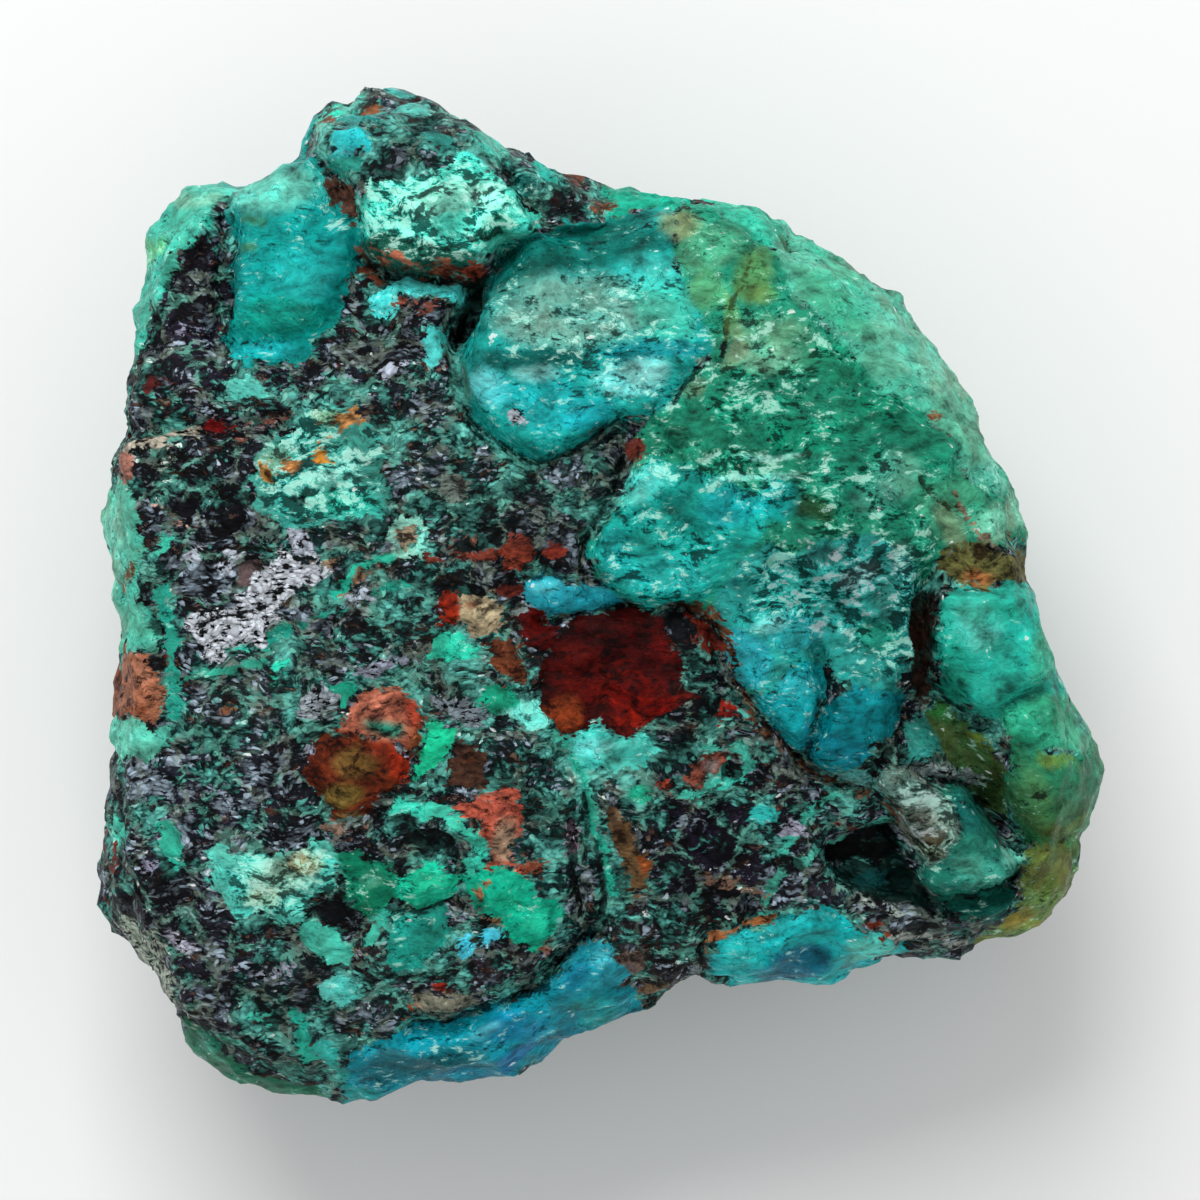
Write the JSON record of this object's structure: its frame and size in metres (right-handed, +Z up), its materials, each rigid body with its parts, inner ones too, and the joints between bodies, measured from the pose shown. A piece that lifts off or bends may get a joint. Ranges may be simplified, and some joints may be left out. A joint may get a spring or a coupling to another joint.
{
  "type": "chrysocolla specimen",
  "caption": "Rough lump of green and blue copper ore with dark matrix and red clasts, lying on a flat fracture face.",
  "frame": {"origin": "middle of the stone's box in plan, on the flat face that it rests on", "axes": "+Z up out of the broken face with the clasts; +Y towards the dark knob at the narrow end; +X towards the green edge"},
  "size_m": [0.0505, 0.051, 0.024],
  "materials": {
    "mineral": "rough broken stone, glassy where it is blue or green and dull where it is dark"
  },
  "bodies": {
    "root": {"stone": "mineral"}
  },
  "joints": []
}
